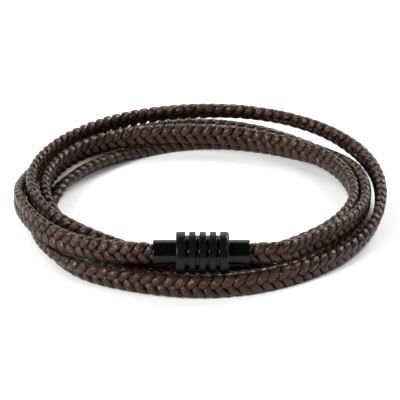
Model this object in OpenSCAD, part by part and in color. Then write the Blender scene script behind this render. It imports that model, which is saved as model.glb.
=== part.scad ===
// Leather wrap bracelet: one flat braid wound four times round the wrist,
// with both of its ends held in a ribbed tube clasp at the front.
// Origin: ring centre on the surface that it lies on. +Z is up, the clasp faces -Y.

/* [Ring] */
// Radius of the reference circle that the turns are placed from
ring_r = 33; // [28:0.5:40]
// Height of the clasp's axis above the surface
clasp_z = 7.8; // [7.8:0.1:10]
// How far the clasp's axis lies outside the reference circle
clasp_out = 1.8; // [1.6:0.1:2.6]

/* [Braid] */
// Width of the flat braid
braid_wide = 4.8; // [3.6:0.1:5]
// Thickness of the flat braid
braid_thick = 2.1; // [1.6:0.1:2.2]
// Room left between turns that lie side by side
turn_gap = 0.2; // [0.1:0.05:0.4]
// Width of the braid where it is squeezed into a cap
end_wide = 4; // [3:0.1:4.2]
// Length of braid over which it narrows before a cap
end_taper = 1.2; // [0.6:0.1:3]

/* [Clasp] */
// Length of the whole clasp from cap mouth to cap mouth
clasp_len = 19.3; // [17:0.1:22]
// How far the clasp sits to the right of the ring's middle
clasp_shift = 0.2; // [0:0.05:0.2]
// Outer diameter of an end cap
cap_d = 5.3; // [5.2:0.1:6]
// Diameter of the hole in a cap that the braid enters
cap_bore_d = 4.4; // [4.3:0.1:4.6]
// Depth of the hole in a cap
cap_bore_depth = 3.75; // [2.5:0.25:4]
// Rounding of a cap's mouth
cap_round = 0.25; // [0.1:0.05:0.4]
// Rounding of a cap's closed end, inside the sleeve
cap_end_round = 0.1; // [0.05:0.05:0.4]
// Gap left between the two caps inside the sleeve
cap_split = 0.3; // [0.2:0.1:1]
// Length of the ribbed sleeve
sleeve_len = 10.6; // [10:0.1:11]
// How far the sleeve sits to the right of the clasp's middle
sleeve_shift = 0.25; // [-0.5:0.05:0.5]
// Diameter of the sleeve over its ribs
sleeve_d = 8.5; // [8:0.1:9]
// Clearance between a cap and the sleeve's bore
sleeve_fit = 0.15; // [0.1:0.05:0.3]
// Number of grooves round the sleeve
groove_count = 4; // [2:1:5]
// Width of a groove
groove_w = 0.75; // [0.4:0.05:0.9]
// Depth of a groove
groove_deep = 0.7; // [0.3:0.05:0.9]
// Width of an inner rib between two grooves
rib_w = 1.3; // [1:0.05:1.4]
// Rounding of the sleeve's left outer corner
sleeve_round_left = 0.3; // [0.1:0.05:0.6]
// Rounding of the sleeve's right outer corner
sleeve_round_right = 0.7; // [0.1:0.05:0.9]

/* [Hidden] */
$fn = 96;

leather = "#3a2a22";
black_metal = "#1b1b1d";

// One lane is a standing turn and its gap, one rise is a turn stacked on another.
lane_pitch = braid_thick + turn_gap;
rise_pitch = braid_wide + turn_gap;
edge_r = braid_thick / 2;
half_flat = (braid_wide - braid_thick) / 2;

// The braid's route: a row every 20 degrees, counted from the clasp towards the
// right, then the back, then the left. Columns: lane is the distance out from the
// reference circle, rise the height above where the braid would rest, both as
// shares of the pitches above, and lean is how far the braid's width tips over:
// 0 stands upright, 90 lies flat, a negative lean has its top edge inwards.
LANE = 0;
RISE = 1;
LEAN = 2;
row_step = 20;
turn_1 = [
    [0.80, 1.10, 0], [1.30, 1.00, 0], [1.15, 0.80, 0],
    [1.00, 0.80, 0], [0.95, 0.45, 0], [0.72, 0.60, 0],
    [0.54, 0.29, 0], [0.17, 0, 2], [0.22, 0, 28],
    [0.05, 0, 55], [-0.35, 0, 92], [-1.15, 0, 116],
    [-1.15, 0, 140], [-0.60, 0, 126], [0.52, 0, 64],
    [1.63, 0, 55], [3.20, 0, 33], [2.35, 0, -16]
];
turn_2 = [
    [2.75, 0, 0], [2.40, 0, 0], [2.15, 0, 10],
    [2.15, 0, 25], [2.15, 0.20, 15], [2.43, 0.59, 0],
    [2.34, 0.83, -19], [2.22, 1.01, -41], [2.06, 1.06, -45],
    [1.85, 1.00, -40], [1.60, 1.00, -38], [1.35, 0.97, -30],
    [1.30, 0.93, -20], [1.20, 0.95, -8], [1.28, 0.98, 0],
    [0.86, 0.90, 0], [0.10, 0.74, 0], [-1.30, 0.17, 0]
];
turn_3 = [
    [-1.65, 0, 0], [-1.60, 0, 0], [-0.75, 0.38, 0],
    [-0.15, 0.50, 0], [-0.15, 0.50, 0], [-0.25, 0.44, 0],
    [-0.50, 0.50, 0], [-0.80, 0.30, 0], [-1.00, 0.39, 0],
    [-1.15, 0.40, 0], [-1.00, 0.52, 0], [-0.30, 0.56, 0],
    [0.10, 0.54, 0], [0.15, 0.54, 0], [-0.10, 0.60, 0],
    [-0.85, 0.12, 25], [-0.50, 0, 88], [0.20, 0, 84]
];
turn_4 = [
    [0.30, 0, 78], [0.25, 0, 70], [0.30, 0, 68],
    [0.40, 0, 70], [-0.14, 0, 92], [0.65, 0, 77],
    [2.53, 0, 92], [1.89, 0, 87], [2.10, 0.09, 57],
    [2.58, 0, 39], [1.85, 0, 0], [2.15, 0, 0],
    [2.35, 0, 0], [2.30, 0.10, 0], [2.38, 0.74, 0],
    [2.53, 0.92, -10], [2.59, 0.80, -15], [1.40, 1.21, 0]
];
route = concat(turn_1, turn_2, turn_3, turn_4, [turn_1[0]]);
route_end = (len(route) - 1) * row_step;

// Near the clasp the braid leaves its route and runs straight into a cap.
blend_angle = 22;
straight_limit = 60;
// Rounds off the resting height as the braid rolls past lying flat.
flat_soft = 0.01;
// Rings along the braid and corners round it, counted on its two half circles.
ring_count = 234;
half_corners = 6;

clasp_y = ring_r + clasp_out;
cap_half = clasp_len / 2;
sleeve_half = sleeve_len / 2;
cap_floor = cap_half - cap_bore_depth;
// Room between the braid's end and the floor of a cap's hole.
end_room = 0.4;
braid_end = cap_floor + end_room;
cap_angle = atan2(cap_half, clasp_y);
start_angle = atan2(braid_end, clasp_y);
taper_angle = atan2(cap_half + end_taper, clasp_y) - cap_angle;

function clamp(v, low, high) = min(max(v, low), high);
function smooth(v) = let (s = clamp(v, 0, 1)) s * s * (3 - 2 * s);
function mix(a, b, s) = a + (b - a) * s;

// A uniform cubic B-spline through the route's rows, one column at a time.
function cell(i, col) = route[clamp(i, 0, len(route) - 1)][col];
function along(angle, col) =
    let (
        u = angle / row_step,
        i = clamp(floor(u), 0, len(route) - 2),
        t = u - i
    )
    (pow(1 - t, 3) * cell(i - 1, col)
     + (3 * pow(t, 3) - 6 * pow(t, 2) + 4) * cell(i, col)
     + (-3 * pow(t, 3) + 3 * pow(t, 2) + 3 * t + 1) * cell(i + 1, col)
     + pow(t, 3) * cell(i + 2, col)) / 6;

function from_clasp(angle) = min(angle, route_end - angle);
function freed(angle) = smooth((from_clasp(angle) - cap_angle) / blend_angle);
function lean(angle) = freed(angle) * along(angle, LEAN);
function radius(angle) = mix(
    clasp_y / cos(min(from_clasp(angle), straight_limit)),
    ring_r + along(angle, LANE) * lane_pitch,
    freed(angle)
);
function resting(angle) = edge_r
    + half_flat * sqrt(pow(cos(along(angle, LEAN)), 2) + flat_soft);
function height(angle) = mix(
    clasp_z,
    resting(angle) + along(angle, RISE) * rise_pitch,
    freed(angle)
);
function centre(angle) = [
    radius(angle) * sin(angle),
    -radius(angle) * cos(angle),
    height(angle)
];
function flat_part(angle) = mix(
    (end_wide - braid_thick) / 2,
    half_flat,
    smooth((from_clasp(angle) - cap_angle) / taper_angle)
);

function unit(v) = v / norm(v);
probe = 0.2; // degrees looked ahead and back for the heading
function heading(angle) = unit(
    centre(min(angle + probe, route_end - start_angle))
    - centre(max(angle - probe, start_angle))
);
function outward(angle) = unit(cross(heading(angle), [0, 0, 1]));
function upward(angle) = cross(outward(angle), heading(angle));

// Corners of the flat oval: a half circle at the top edge and one at the bottom.
corners = [
    for (end = [1, -1]) for (k = [0 : half_corners - 1])
        let (turn = 180 * k / (half_corners - 1) + (end > 0 ? 0 : 180))
        [edge_r * cos(turn), edge_r * sin(turn), end]
];
function ring(angle) =
    let (
        c = centre(angle),
        l = lean(angle),
        out = outward(angle),
        up = upward(angle),
        wide = cos(l) * up + sin(l) * out,
        thin = cos(l) * out - sin(l) * up,
        f = flat_part(angle)
    )
    [for (p = corners) c + thin * p[0] + wide * (p[1] + p[2] * f)];

module leather_braid() {
    n = len(corners);
    step = (route_end - 2 * start_angle) / (ring_count - 1);
    rings = [for (k = [0 : ring_count - 1]) ring(start_angle + k * step)];
    points = [for (r = rings) for (p = r) p];
    sides = [
        for (k = [0 : ring_count - 2]) for (j = [0 : n - 1])
            let (a = k * n + j, b = k * n + (j + 1) % n)
            each [[a, b, b + n], [a, b + n, a + n]]
    ];
    last = (ring_count - 1) * n;
    color(leather)
        polyhedron(
            points,
            concat(
                sides,
                [[for (j = [n - 1 : -1 : 0]) j]],
                [[for (j = [0 : n - 1]) last + j]]
            )
        );
}

// Turns a profile drawn as [distance from the axis, place along it] round the clasp.
module turned() {
    translate([clasp_shift, -clasp_y, clasp_z])
        rotate([0, 90, 0])
            rotate_extrude()
                children();
}

// A box with its outer corners rounded, seen in the profile's half plane.
module rounded_bar(inner, outer, low, high, round_low, round_high) {
    difference() {
        translate([inner, low])
            square([outer - inner, high - low]);
        outer_corner(outer, low, round_low, 1);
        outer_corner(outer, high, round_high, -1);
    }
}

// What is cut from an outer corner to leave it round.
module outer_corner(outer, place, r, inwards) {
    difference() {
        translate([outer - r, inwards > 0 ? place : place - r])
            square([r, r]);
        translate([outer - r, place + inwards * r])
            circle(r);
    }
}

module clasp_sleeve() {
    groove_pitch = groove_w + rib_w;
    bore_r = cap_d / 2 + sleeve_fit;
    color(black_metal)
        turned()
            translate([0, sleeve_shift])
                difference() {
                    rounded_bar(
                        bore_r, sleeve_d / 2, -sleeve_half, sleeve_half,
                        sleeve_round_left, sleeve_round_right
                    );
                    for (k = [0 : groove_count - 1]) {
                        middle = (k - (groove_count - 1) / 2) * groove_pitch;
                        translate([sleeve_d / 2 - groove_deep, middle - groove_w / 2])
                            square([groove_deep, groove_w]);
                    }
                }
}

// Profile of the right cap: closed end inside the sleeve, mouth towards the braid.
module cap_profile() {
    difference() {
        rounded_bar(0, cap_d / 2, cap_split / 2, cap_half, cap_end_round, cap_round);
        translate([0, cap_floor])
            square([cap_bore_d / 2, cap_bore_depth]);
    }
}

module left_end_cap() {
    color(black_metal)
        turned()
            mirror([0, 1])
                cap_profile();
}

module right_end_cap() {
    color(black_metal)
        turned()
            cap_profile();
}

leather_braid();
clasp_sleeve();
left_end_cap();
right_end_cap();
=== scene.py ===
import math
import random
from bisect import bisect_right

import bmesh
import bpy
from mathutils import Matrix, Vector


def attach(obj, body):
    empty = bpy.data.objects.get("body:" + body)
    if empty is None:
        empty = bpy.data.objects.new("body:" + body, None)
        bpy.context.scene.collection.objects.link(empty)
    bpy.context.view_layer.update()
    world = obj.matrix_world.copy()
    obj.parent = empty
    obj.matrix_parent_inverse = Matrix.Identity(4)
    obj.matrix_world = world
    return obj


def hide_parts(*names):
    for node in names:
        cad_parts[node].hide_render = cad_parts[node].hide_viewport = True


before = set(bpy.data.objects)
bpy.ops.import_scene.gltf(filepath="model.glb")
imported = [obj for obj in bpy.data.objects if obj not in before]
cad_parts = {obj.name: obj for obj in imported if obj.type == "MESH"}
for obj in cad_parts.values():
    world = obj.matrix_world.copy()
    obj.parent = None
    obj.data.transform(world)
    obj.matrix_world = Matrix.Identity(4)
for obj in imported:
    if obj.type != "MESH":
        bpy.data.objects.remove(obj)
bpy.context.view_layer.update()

random.seed(11)          # the plaits are pulled the same way on each run
millimetre = 0.001


# Camera: a long lens in front of the clasp, looking down at the ring

cameraSettings = {
    "distance": 0.512,      # from the ring's centre to the lens
    "elevation": 26.0,      # degrees above the surface
    "lens": 216.2,
    "sensor": 36.0,
    "shiftX": -0.001,
    "shiftY": 0.0288,
    "nearest": 0.01,        # what the lens clips off
    "furthest": 20.0,
}


def placeCamera(s):
    data = bpy.data.cameras.new("photoCamera")
    data.lens = s["lens"]
    data.sensor_width = s["sensor"]
    data.shift_x = s["shiftX"]
    data.shift_y = s["shiftY"]
    data.clip_start = s["nearest"]
    data.clip_end = s["furthest"]
    camera = bpy.data.objects.new("photoCamera", data)
    bpy.context.scene.collection.objects.link(camera)
    up = math.radians(s["elevation"])
    camera.location = (0.0, -s["distance"] * math.cos(up), s["distance"] * math.sin(up))
    camera.rotation_euler = (math.pi / 2 - up, 0.0, 0.0)
    bpy.context.scene.camera = camera


placeCamera(cameraSettings)
print("camera placed")


# Route of the braid, the same rows as in the part's source, here in metres

route = {
    "ringR": 0.033,
    "claspY": 0.0348,        # from the ring's centre to the clasp's axis
    "claspZ": 0.0078,        # height of that axis above the surface
    "braidWide": 0.0048,
    "braidThick": 0.0021,
    "turnGap": 0.0002,
    "claspHalf": 0.00965,
    "claspShift": 0.0002,    # the clasp's middle lies this far to the right
    "braidEnd": 0.0063,      # where the braid ends inside a cap, from the middle
    "endWide": 0.004,        # width inside a cap
    "endTaper": 0.0012,      # length over which it opens to its full width
    "blendAngle": 22.0,      # degrees over which the braid leaves the clasp's line
    "straightLimit": 60.0,   # degrees, keeps that line finite
    "flatSoft": 0.01,        # rounds the change from a standing to a lying braid
    "rowStep": 20.0,
    "samples": 3200,
}

# Lane outwards and rise upwards in pitches, lean in degrees, a row every rowStep degrees
# anticlockwise from the clasp, seen from above
routeRows = [
    (0.80, 1.10, 0), (1.30, 1.00, 0), (1.15, 0.80, 0),
    (1.00, 0.80, 0), (0.95, 0.45, 0), (0.72, 0.60, 0),
    (0.54, 0.29, 0), (0.17, 0, 2), (0.22, 0, 28),
    (0.05, 0, 55), (-0.35, 0, 92), (-1.15, 0, 116),
    (-1.15, 0, 140), (-0.60, 0, 126), (0.52, 0, 64),
    (1.63, 0, 55), (3.20, 0, 33), (2.35, 0, -16),
    (2.75, 0, 0), (2.40, 0, 0), (2.15, 0, 10),
    (2.15, 0, 25), (2.15, 0.20, 15), (2.43, 0.59, 0),
    (2.34, 0.83, -19), (2.22, 1.01, -41), (2.06, 1.06, -45),
    (1.85, 1.00, -40), (1.60, 1.00, -38), (1.35, 0.97, -30),
    (1.30, 0.93, -20), (1.20, 0.95, -8), (1.28, 0.98, 0),
    (0.86, 0.90, 0), (0.10, 0.74, 0), (-1.30, 0.17, 0),
    (-1.65, 0, 0), (-1.60, 0, 0), (-0.75, 0.38, 0),
    (-0.15, 0.50, 0), (-0.15, 0.50, 0), (-0.25, 0.44, 0),
    (-0.50, 0.50, 0), (-0.80, 0.30, 0), (-1.00, 0.39, 0),
    (-1.15, 0.40, 0), (-1.00, 0.52, 0), (-0.30, 0.56, 0),
    (0.10, 0.54, 0), (0.15, 0.54, 0), (-0.10, 0.60, 0),
    (-0.85, 0.12, 25), (-0.50, 0, 88), (0.20, 0, 84),
    (0.30, 0, 78), (0.25, 0, 70), (0.30, 0, 68),
    (0.40, 0, 70), (-0.14, 0, 92), (0.65, 0, 77),
    (2.53, 0, 92), (1.89, 0, 87), (2.10, 0.09, 57),
    (2.58, 0, 39), (1.85, 0, 0), (2.15, 0, 0),
    (2.35, 0, 0), (2.30, 0.10, 0), (2.38, 0.74, 0),
    (2.53, 0.92, -10), (2.59, 0.80, -15), (1.40, 1.21, 0),
    (0.80, 1.10, 0),
]
lanePitch = route["braidThick"] + route["turnGap"]
risePitch = route["braidWide"] + route["turnGap"]
edgeR = route["braidThick"] / 2
halfFlat = (route["braidWide"] - route["braidThick"]) / 2
routeEnd = (len(routeRows) - 1) * route["rowStep"]
capAngle = math.degrees(math.atan2(route["claspHalf"], route["claspY"]))
startAngle = math.degrees(math.atan2(route["braidEnd"], route["claspY"]))
taperAngle = math.degrees(
    math.atan2(route["claspHalf"] + route["endTaper"], route["claspY"])
) - capAngle


def smoothStep(v):
    v = min(max(v, 0.0), 1.0)
    return v * v * (3 - 2 * v)


def mix(a, b, share):
    return a + (b - a) * share


def along(angle):        # a uniform cubic B-spline that follows the rows
    u = angle / route["rowStep"]
    i = min(max(int(u), 0), len(routeRows) - 2)
    t = u - i
    last = len(routeRows) - 1
    rows = [routeRows[min(max(i + k, 0), last)] for k in (-1, 0, 1, 2)]
    weights = (
        (1 - t) ** 3,
        3 * t ** 3 - 6 * t ** 2 + 4,
        -3 * t ** 3 + 3 * t ** 2 + 3 * t + 1,
        t ** 3,
    )
    return [sum(w * row[c] for w, row in zip(weights, rows)) / 6 for c in range(3)]


def routePoint(angle):
    lane, rise, lean = along(angle)
    fromClasp = min(angle, routeEnd - angle)
    freed = smoothStep((fromClasp - capAngle) / route["blendAngle"])
    straight = route["claspY"] / math.cos(math.radians(min(fromClasp, route["straightLimit"])))
    radius = mix(straight, route["ringR"] + lane * lanePitch, freed)
    resting = edgeR + halfFlat * math.sqrt(math.cos(math.radians(lean)) ** 2 + route["flatSoft"])
    height = mix(route["claspZ"], resting + rise * risePitch, freed)
    a = math.radians(angle)
    return Vector((radius * math.sin(a), -radius * math.cos(a), height)), freed * lean


def sampleRoute():
    count = route["samples"]
    angles = [mix(startAngle, routeEnd - startAngle, k / (count - 1)) for k in range(count)]
    found = [routePoint(a) for a in angles]
    places = [0.0]
    for k in range(1, count):
        places.append(places[-1] + (found[k][0] - found[k - 1][0]).length)
    frames = []
    for k in range(count):
        heading = (found[min(k + 1, count - 1)][0] - found[max(k - 1, 0)][0]).normalized()
        outward = heading.cross(Vector((0, 0, 1))).normalized()
        upward = outward.cross(heading)
        lean = math.radians(found[k][1])
        wide = math.cos(lean) * upward + math.sin(lean) * outward
        thin = math.cos(lean) * outward - math.sin(lean) * upward
        fromClasp = min(angles[k], routeEnd - angles[k])
        squeeze = mix(
            route["endWide"] / route["braidWide"], 1.0,
            smoothStep((fromClasp - capAngle) / taperAngle)
        )
        frames.append((found[k][0], thin, wide * squeeze, heading))
    return places, frames


places, frames = sampleRoute()
braidLength = places[-1]
print("braid length %.3f m" % braidLength)


def onRoute(x, y, z):    # x along the braid, y out of its flat face, z across its width
    x = min(max(x, 0.0), braidLength)
    k = min(max(bisect_right(places, x) - 1, 0), len(places) - 2)
    share = (x - places[k]) / (places[k + 1] - places[k])
    a, b = frames[k], frames[k + 1]
    centre = a[0].lerp(b[0], share)
    return centre + a[1].lerp(b[1], share) * y + a[2].lerp(b[2], share) * z


# Braid: one lace form, bent into plaits over the top edge and under the bottom edge

braidSettings = {
    "pitch": 0.00232,        # from one plait to the next
    "laceWide": 0.00196,
    "laceThick": 0.00116,
    "laceProud": 0.0001,     # how far the plaits stand out of the plain band
    "laceAngle": 50.0,       # between a plait and the braid's length
    "tuck": 0.0004,          # length that goes under the next plait
    "headLength": 0.0011,    # over which a plait rounds off and dives
    "headWide": 0.4,         # share of the width left at its very end
    "diveDeep": 0.00055,
    "laceSides": 8,
    "laceFull": 0.55,        # below 1 a lace is fuller than an ellipse
    "laceCuts": 9,
    "restHeight": 0.00002,   # plaits are pressed flat where they touch the surface
    "coreWide": 0.0036,
    "coreThick": 0.0008,
    "coreSides": 10,
    "coreStep": 0.0022,
    "coreShade": 1.5,        # above 1 the material gives it the full painted shade under the plaits
    "unevenPlace": 0.00006,  # how unevenly the plaits are pulled
    "unevenWidth": 0.06,
    "unevenHeight": 0.00005,
}


def barAlongX(sides, cuts, length):
    bar = bmesh.new()
    bmesh.ops.create_cone(
        bar, cap_ends=True, segments=sides, radius1=0.5, radius2=0.5, depth=length,
        matrix=Matrix.Rotation(math.pi / 2, 4, "Y")
    )
    long = [e for e in bar.edges if abs(e.verts[0].co.x - e.verts[1].co.x) > length / 2]
    bmesh.ops.subdivide_edges(bar, edges=long, cuts=cuts, use_grid_fill=True)
    return bar


def overEdge(s, path, up, head):
    # place out of the flat face and across the width, for a path over the top edge
    bend = edgeR - s["laceThick"] / 2
    quarter = bend * math.pi / 2
    middle = halfFlat + quarter
    out = bend + up + s["laceProud"] - s["diveDeep"] * head ** 2
    if path < -quarter:
        return out, path + middle
    if path > quarter:
        return -out, middle - path
    turn = path / bend
    return -out * math.sin(turn), halfFlat + out * math.cos(turn)


def addPlait(braid, lace, form, s, start, side):
    # lace keeps for the material: place along in mm, across from -1 to 1, and a tint
    bend = edgeR - s["laceThick"] / 2
    middle = halfFlat + bend * math.pi / 2
    slope = math.radians(s["laceAngle"])
    width = 1 + random.uniform(-1, 1) * s["unevenWidth"]
    lift = random.uniform(-1, 0) * s["unevenHeight"]
    tint = random.random()
    made = []
    for p in form["points"]:
        path = p.x * math.sin(slope)
        head = min(max((abs(path) - middle - s["tuck"]) / s["headLength"] + 1, 0), 1)
        rounded = mix(s["headWide"], 1.0, math.sqrt(1 - head ** 2))
        across = p.y * width * rounded
        place = start + p.x * math.cos(slope) + across * math.sin(slope)
        out, wide = overEdge(s, path - across * math.cos(slope), p.z + lift, head)
        v = braid.verts.new((place, out, wide * side))
        v[lace] = Vector((p.x / millimetre, p.y / s["laceWide"] * 2, tint))
        made.append(v)
    for f in form["faces"]:
        braid.faces.new([made[i] for i in f])


def addCore(braid, lace, s):
    # the laces under the plaits, coloured with the full painted shade, seen only as dark between
    # them
    core = barAlongX(s["coreSides"], int(braidLength / s["coreStep"]), braidLength)
    spread = (s["coreWide"] - s["coreThick"]) / 2
    made = []
    for v in core.verts:
        wide = v.co.z * s["coreThick"] + math.copysign(spread, v.co.z)
        new = braid.verts.new((v.co.x + braidLength / 2, v.co.y * s["coreThick"], wide))
        new[lace] = Vector((v.co.x / millimetre, s["coreShade"], 0.0))
        made.append(new)
    for f in core.faces:
        braid.faces.new([made[v.index] for v in f.verts])
    core.free()


def cutAt(mesh, place, facing):
    everything = mesh.verts[:] + mesh.edges[:] + mesh.faces[:]
    cut = bmesh.ops.bisect_plane(
        mesh, geom=everything, plane_co=(place, 0, 0), plane_no=(facing, 0, 0), clear_outer=True
    )
    rims = [e for e in cut["geom_cut"] if isinstance(e, bmesh.types.BMEdge)]
    bmesh.ops.holes_fill(mesh, edges=rims, sides=0)


def buildBraid(s):
    bend = edgeR - s["laceThick"] / 2
    slope = math.radians(s["laceAngle"])
    halfPath = halfFlat + bend * math.pi / 2 + s["tuck"]
    length = 2 * halfPath / math.sin(slope)
    bar = barAlongX(s["laceSides"], s["laceCuts"], length)
    for v in bar.verts:
        full = abs(2 * v.co.z) ** s["laceFull"] / 2
        v.co.z = math.copysign(full, v.co.z) * s["laceThick"]
        v.co.y *= s["laceWide"]
    form = {
        "points": [v.co.copy() for v in bar.verts],
        "faces": [[v.index for v in f.verts] for f in bar.faces],
    }
    bar.free()
    braid = bmesh.new()
    lace = braid.verts.layers.float_vector.new("lace")
    reach = length / 2
    count = int((braidLength + 2 * reach) / s["pitch"] * 2)
    for k in range(count):
        start = k * s["pitch"] / 2 - reach + random.uniform(-1, 1) * s["unevenPlace"]
        side = 1 if k % 2 == 0 else -1       # over the top edge, then under the bottom one
        addPlait(braid, lace, form, s, start, side)
    cutAt(braid, 0.0, -1)
    cutAt(braid, braidLength, 1)
    addCore(braid, lace, s)
    for v in braid.verts:
        v.co = onRoute(*v.co)
        v.co.z = max(v.co.z, s["restHeight"])
    bmesh.ops.recalc_face_normals(braid, faces=braid.faces)
    print("braid: %d plaits" % count)
    return braid


def finishPiece(name, mesh, material, node, sharpAngle=None):
    data = bpy.data.meshes.new(name)
    mesh.to_mesh(data)
    mesh.free()
    for polygon in data.polygons:
        polygon.use_smooth = True
    if sharpAngle:
        data.set_sharp_from_angle(angle=math.radians(sharpAngle))
    data.materials.append(material)
    piece = bpy.data.objects.new(name, data)
    bpy.context.scene.collection.objects.link(piece)
    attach(piece, "root")
    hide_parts(node)
    return piece


# Clasp: turned pieces, the ribbed sleeve and the two caps that the braid enters

def turnProfile(outline, steps):
    # outline: (place along the clasp, distance from its axis), closed on itself
    samePoint = 1e-7
    mesh = bmesh.new()
    verts = [
        mesh.verts.new((route["claspShift"] + x, -route["claspY"], route["claspZ"] + r))
        for x, r in outline
    ]
    edges = [mesh.edges.new((verts[k - 1], verts[k])) for k in range(len(verts))]
    bmesh.ops.spin(
        mesh, geom=verts + edges, cent=(0, -route["claspY"], route["claspZ"]), axis=(1, 0, 0),
        angle=2 * math.pi, steps=steps, use_merge=True
    )
    bmesh.ops.remove_doubles(mesh, verts=mesh.verts, dist=samePoint)
    bmesh.ops.recalc_face_normals(mesh, faces=mesh.faces)
    return mesh


def roundCorner(x, r, radius, sideways, steps=5):
    # points round an outer corner at (x, r), from the turned face to the end face
    points = []
    for k in range(steps + 1):
        a = k / steps * math.pi / 2
        points.append((x + sideways * radius * (1 - math.sin(a)), r - radius * (1 - math.cos(a))))
    return points


def hollowCorner(x, r, radius, sideways, steps=4):
    # points round the inner corner at the foot of a wall at x, from the wall to the floor at r
    points = []
    for k in range(steps + 1):
        a = k / steps * math.pi / 2
        points.append((x + sideways * radius * (1 - math.cos(a)), r + radius * (1 - math.sin(a))))
    return points


sleeveSettings = {
    "length": 0.0106,
    "shift": 0.00025,        # of the sleeve from the clasp's middle
    "radius": 0.00425,
    "bore": 0.0028,
    "grooveWide": 0.00075,
    "grooveDeep": 0.0007,
    "grooves": 4,
    "rib": 0.0013,
    "roundLeft": 0.0003,
    "roundRight": 0.0007,
    "edge": 0.00007,         # softened edge of a rib
    "foot": 0.00014,         # round at the foot of a rib
    "spinSteps": 128,
    "sharpAngle": 35.0,
}


def buildSleeve(s):
    half = s["length"] / 2
    outline = [(-half, s["bore"])]
    outline += roundCorner(-half, s["radius"], s["roundLeft"], 1)[::-1]
    pitch = s["grooveWide"] + s["rib"]
    floor = s["radius"] - s["grooveDeep"]
    e = s["edge"]
    for k in range(s["grooves"]):
        middle = (k - (s["grooves"] - 1) / 2) * pitch
        low = middle - s["grooveWide"] / 2
        high = middle + s["grooveWide"] / 2
        outline += [(low - e, s["radius"]), (low, s["radius"] - e)]
        outline += hollowCorner(low, floor, s["foot"], 1)
        outline += hollowCorner(high, floor, s["foot"], -1)[::-1]
        outline += [(high, s["radius"] - e), (high + e, s["radius"])]
    outline += roundCorner(half, s["radius"], s["roundRight"], -1)
    outline += [(half, s["bore"])]
    return turnProfile([(x + s["shift"], r) for x, r in outline], s["spinSteps"])


capSettings = {
    "radius": 0.00265,
    "bore": 0.0022,
    "inner": 0.00015,        # closed end, inside the sleeve
    "floor": 0.0059,
    "mouth": 0.00965,
    "round": 0.00025,
    "spinSteps": 96,
    "sharpAngle": 35.0,
}


def buildCap(s, sideways):
    outline = [(s["inner"], 0.0), (s["inner"], s["radius"])]
    outline += roundCorner(s["mouth"], s["radius"], s["round"], -1)
    outline += [(s["mouth"], s["bore"]), (s["floor"], s["bore"]), (s["floor"], 0.0)]
    return turnProfile([(x * sideways, r) for x, r in outline], s["spinSteps"])


# Materials

def newMaterial(name):
    material = bpy.data.materials.new(name)
    material.use_nodes = True
    tree = material.node_tree
    tree.nodes.clear()
    shader = tree.nodes.new("ShaderNodeBsdfPrincipled")
    output = tree.nodes.new("ShaderNodeOutputMaterial")
    tree.links.new(shader.outputs["BSDF"], output.inputs["Surface"])
    return material, tree, shader


def addNode(tree, kind, values=None, **options):
    node = tree.nodes.new(kind)
    for key, value in options.items():
        setattr(node, key, value)
    for key, value in (values or {}).items():
        node.inputs[key].default_value = value
    return node


def addMath(tree, operation, first, second, clamp=False):
    node = addNode(tree, "ShaderNodeMath", operation=operation, use_clamp=clamp)
    for socket, value in zip(node.inputs, (first, second)):
        if isinstance(value, (int, float)):
            socket.default_value = value
        else:
            tree.links.new(value, socket)
    return node.outputs[0]


def addNoise(tree, scale, detail, roughness=0.5):
    values = {"Scale": scale, "Detail": detail, "Roughness": roughness}
    return addNode(tree, "ShaderNodeTexNoise", values)


def addBump(tree, shader, height, s):
    values = {"Strength": s["bumpStrength"], "Distance": s["bumpDepth"]}
    bump = addNode(tree, "ShaderNodeBump", values)
    tree.links.new(height, bump.inputs["Height"])
    tree.links.new(bump.outputs["Normal"], shader.inputs["Normal"])


leatherSettings = {
    # painted shade: the near-black colour laid on the sides between laces and on the core under
    # the plaits
    "dark": (0.004, 0.0014, 0.001, 1),
    "body": (0.0125, 0.0052, 0.0034, 1),
    "worn": (0.050, 0.0225, 0.0152, 1),
    "shine": 0.31,
    "shineTint": (1.0, 0.80, 0.72, 1),
    "roughLow": 0.12,
    "roughHigh": 0.26,
    "grainScale": 2300.0,
    "grainDetail": 1.0,
    "grainRough": 0.5,
    "creaseScale": 1.0,
    "creaseDetail": 2.0,
    "creaseRough": 0.6,
    "creaseAlong": 0.9,      # how finely the creases change along a lace, across it
    "creaseAcross": 3.2,     # and from one lace to the next
    "creaseOther": 90.0,
    "patchScale": 140.0,
    "patchDetail": 2.0,
    "flankShadePower": 2.2,       # how narrow the painted shade along a lace's sides is
    "flankShadeShare": 1.05,
    "wearOfCreases": 0.75,
    "wearOfPatches": 0.55,
    "wearOfTint": 0.25,
    "wearOfGrain": 1.1,
    "wearLess": 0.95,
    "creaseHeight": 1.0,
    "grainHeight": 1.6,
    "bumpStrength": 0.8,
    "bumpDepth": 0.00016,
}


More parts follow.
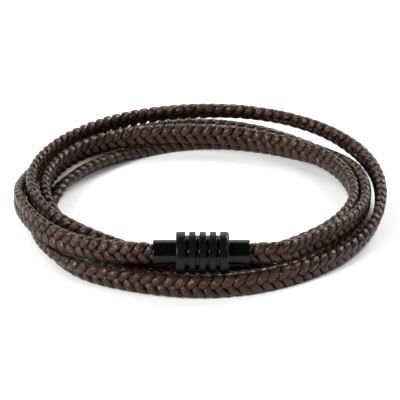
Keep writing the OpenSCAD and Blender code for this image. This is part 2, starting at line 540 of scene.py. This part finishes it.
def leatherMaterial(s):
    material, tree, shader = newMaterial("braidedLeather")
    link = tree.links.new
    lace = addNode(tree, "ShaderNodeAttribute", attribute_name="lace")
    parts = addNode(tree, "ShaderNodeSeparateXYZ")
    link(lace.outputs["Vector"], parts.inputs[0])
    alongLace, acrossLace, tint = parts.outputs
    coord = addNode(tree, "ShaderNodeTexCoord")

    # long fine creases that follow each lace
    stretched = addNode(tree, "ShaderNodeCombineXYZ")
    link(addMath(tree, "MULTIPLY", alongLace, s["creaseAlong"]), stretched.inputs[0])
    link(addMath(tree, "MULTIPLY", acrossLace, s["creaseAcross"]), stretched.inputs[1])
    link(addMath(tree, "MULTIPLY", tint, s["creaseOther"]), stretched.inputs[2])
    creases = addNoise(tree, s["creaseScale"], s["creaseDetail"], s["creaseRough"])
    link(stretched.outputs[0], creases.inputs["Vector"])

    grain = addNoise(tree, s["grainScale"], s["grainDetail"], s["grainRough"])
    link(coord.outputs["Object"], grain.inputs["Vector"])
    patches = addNoise(tree, s["patchScale"], s["patchDetail"])
    link(coord.outputs["Object"], patches.inputs["Vector"])

    # worn crowns are paler; painted shade makes the flanks between two laces and the core under
    # them nearly black
    flankShade = addMath(tree, "POWER", addMath(tree, "ABSOLUTE", acrossLace, 0.0), s["flankShadePower"])
    wear = addMath(tree, "MULTIPLY", creases.outputs["Fac"], s["wearOfCreases"])
    for source, share in (
        (patches.outputs["Fac"], s["wearOfPatches"]),
        (tint, s["wearOfTint"]),
        (grain.outputs["Fac"], s["wearOfGrain"]),
    ):
        wear = addMath(tree, "ADD", wear, addMath(tree, "MULTIPLY", source, share))
    wear = addMath(tree, "SUBTRACT", wear, s["wearLess"], clamp=True)
    paler = addNode(tree, "ShaderNodeMix", data_type="RGBA")
    link(wear, paler.inputs["Factor"])
    paler.inputs["A"].default_value = s["body"]
    paler.inputs["B"].default_value = s["worn"]
    shadedFlanks = addNode(tree, "ShaderNodeMix", data_type="RGBA")
    link(addMath(tree, "MULTIPLY", flankShade, s["flankShadeShare"], clamp=True), shadedFlanks.inputs["Factor"])
    link(paler.outputs["Result"], shadedFlanks.inputs["A"])
    shadedFlanks.inputs["B"].default_value = s["dark"]
    link(shadedFlanks.outputs["Result"], shader.inputs["Base Color"])

    rough = addNode(tree, "ShaderNodeMapRange")
    rough.inputs["To Min"].default_value = s["roughHigh"]
    rough.inputs["To Max"].default_value = s["roughLow"]
    link(creases.outputs["Fac"], rough.inputs["Value"])
    link(rough.outputs["Result"], shader.inputs["Roughness"])
    shader.inputs["Specular IOR Level"].default_value = s["shine"]
    shader.inputs["Specular Tint"].default_value = s["shineTint"]

    height = addMath(
        tree, "ADD",
        addMath(tree, "MULTIPLY", creases.outputs["Fac"], s["creaseHeight"]),
        addMath(tree, "MULTIPLY", grain.outputs["Fac"], s["grainHeight"]),
    )
    addBump(tree, shader, height, s)
    return material


claspSettings = {
    "black": (0.0015, 0.0015, 0.0018, 1),
    "ribBlack": (0.0022, 0.0022, 0.0025, 1),
    "ribTop": 0.0039,        # distance from the axis where the rib tops begin
    "ribRough": 0.3,
    "smoothRough": 0.14,
    "shine": 0.17,
    "smudgeScale": 420.0,
    "smudgeDetail": 4.0,
    "smudgeRough": 0.06,     # how much smudges change the roughness
    "smudgeBlack": 0.6,      # and the rib tops' colour
    "leastBlack": 0.5,
    "lineScale": 9000.0,     # of the lathe lines, along the axis
    "lineDetail": 2.0,
    "bumpStrength": 0.08,
    "bumpDepth": 0.00005,
}


def claspMaterial(name, s):
    material, tree, shader = newMaterial(name)
    link = tree.links.new
    coord = addNode(tree, "ShaderNodeTexCoord")
    centred = addNode(tree, "ShaderNodeMapping")
    centred.inputs["Location"].default_value = (0, route["claspY"], -route["claspZ"])
    link(coord.outputs["Object"], centred.inputs["Vector"])
    parts = addNode(tree, "ShaderNodeSeparateXYZ")
    link(centred.outputs[0], parts.inputs[0])
    square = addMath(
        tree, "ADD",
        addMath(tree, "MULTIPLY", parts.outputs[1], parts.outputs[1]),
        addMath(tree, "MULTIPLY", parts.outputs[2], parts.outputs[2]),
    )
    onRib = addMath(tree, "GREATER_THAN", square, s["ribTop"] ** 2)
    smudge = addNoise(tree, s["smudgeScale"], s["smudgeDetail"])
    link(coord.outputs["Object"], smudge.inputs["Vector"])
    rough = addMath(tree, "MULTIPLY", onRib, s["ribRough"] - s["smoothRough"])
    smudged = addMath(tree, "MULTIPLY", smudge.outputs["Fac"], s["smudgeRough"])
    rough = addMath(tree, "ADD", rough, smudged)
    rough = addMath(tree, "ADD", rough, s["smoothRough"] - s["smudgeRough"] / 2)
    link(rough, shader.inputs["Roughness"])

    # fine lathe lines round the axis
    ringed = addNode(tree, "ShaderNodeCombineXYZ")
    link(addMath(tree, "MULTIPLY", parts.outputs[0], s["lineScale"]), ringed.inputs[0])
    lines = addNoise(tree, 1.0, s["lineDetail"])
    link(ringed.outputs[0], lines.inputs["Vector"])
    addBump(tree, shader, lines.outputs["Fac"], s)

    tone = addNode(tree, "ShaderNodeMix", data_type="RGBA")
    uneven = addMath(tree, "MULTIPLY", smudge.outputs["Fac"], s["smudgeBlack"])
    uneven = addMath(tree, "ADD", uneven, s["leastBlack"])
    link(addMath(tree, "MULTIPLY", onRib, uneven), tone.inputs["Factor"])
    tone.inputs["A"].default_value = s["black"]
    tone.inputs["B"].default_value = s["ribBlack"]
    link(tone.outputs["Result"], shader.inputs["Base Color"])
    shader.inputs["Specular IOR Level"].default_value = s["shine"]
    return material


leather = leatherMaterial(leatherSettings)
blackMetal = claspMaterial("blackMetal", claspSettings)

braid = finishPiece(
    "plaited_leather", buildBraid(braidSettings), leather, "leather_braid"
)
print("braid made, %d faces" % len(braid.data.polygons))

finishPiece(
    "ribbed_sleeve", buildSleeve(sleeveSettings), blackMetal, "clasp_sleeve",
    sleeveSettings["sharpAngle"]
)
for capName, sideways, capNode in (
    ("left_cap", -1, "left_end_cap"), ("right_cap", 1, "right_end_cap")
):
    finishPiece(
        capName, buildCap(capSettings, sideways), blackMetal, capNode,
        capSettings["sharpAngle"]
    )
print("clasp turned")


# Floor and light

lightSettings = {
    "floorHalf": 1.6,
    "floorWhite": 0.93,
    "floorRough": 0.9,
    "floorShine": 0.1,
    "sky": 0.03,
    "leftBox": {"place": (-0.5, -0.45, 0.36), "wide": 0.12, "high": 0.09, "power": 3.8},
    "leftSoft": {"place": (-0.54, -0.48, 0.4), "wide": 0.5, "high": 0.38, "power": 5.6},
    "rightBox": {"place": (0.5, -0.35, 0.6), "wide": 0.4, "high": 0.3, "power": 2.0},
    "leftTop": {"place": (-0.55, 0.6, 0.6), "wide": 0.6, "high": 0.5, "power": 6.0},
    "rightTop": {"place": (0.56, 0.57, 0.6), "wide": 0.6, "high": 0.5, "power": 12.0},
    "backPanel": {"place": (0.0, 0.9, 0.55), "wide": 0.5, "high": 0.85, "power": 2.3},
}


def addFloor(s):
    floorMesh = bmesh.new()
    bmesh.ops.create_grid(floorMesh, x_segments=1, y_segments=1, size=s["floorHalf"])
    data = bpy.data.meshes.new("floor")
    floorMesh.to_mesh(data)
    floorMesh.free()
    material, _, shader = newMaterial("palePaper")
    white = s["floorWhite"]
    shader.inputs["Base Color"].default_value = (white, white, white, 1)
    shader.inputs["Roughness"].default_value = s["floorRough"]
    shader.inputs["Specular IOR Level"].default_value = s["floorShine"]
    data.materials.append(material)
    floor = bpy.data.objects.new("floor", data)
    bpy.context.scene.collection.objects.link(floor)


def addArea(name, s):
    data = bpy.data.lights.new(name, "AREA")
    data.shape = "RECTANGLE"
    data.size = s["wide"]
    data.size_y = s["high"]
    data.energy = s["power"]
    lamp = bpy.data.objects.new(name, data)
    bpy.context.scene.collection.objects.link(lamp)
    lamp.location = s["place"]
    lamp.rotation_euler = (-Vector(s["place"])).to_track_quat("-Z", "Y").to_euler()
    lamp.visible_camera = False


def addSky(strength):
    world = bpy.data.worlds.new("softSky")
    world.use_nodes = True
    background = world.node_tree.nodes["Background"]
    background.inputs["Color"].default_value = (1, 1, 1, 1)
    background.inputs["Strength"].default_value = strength
    bpy.context.scene.world = world


addFloor(lightSettings)
for lampName in ("leftBox", "leftSoft", "rightBox", "leftTop", "rightTop", "backPanel"):
    addArea(lampName, lightSettings[lampName])
addSky(lightSettings["sky"])
bpy.context.scene.view_settings.view_transform = "Standard"
print("floor and light set")
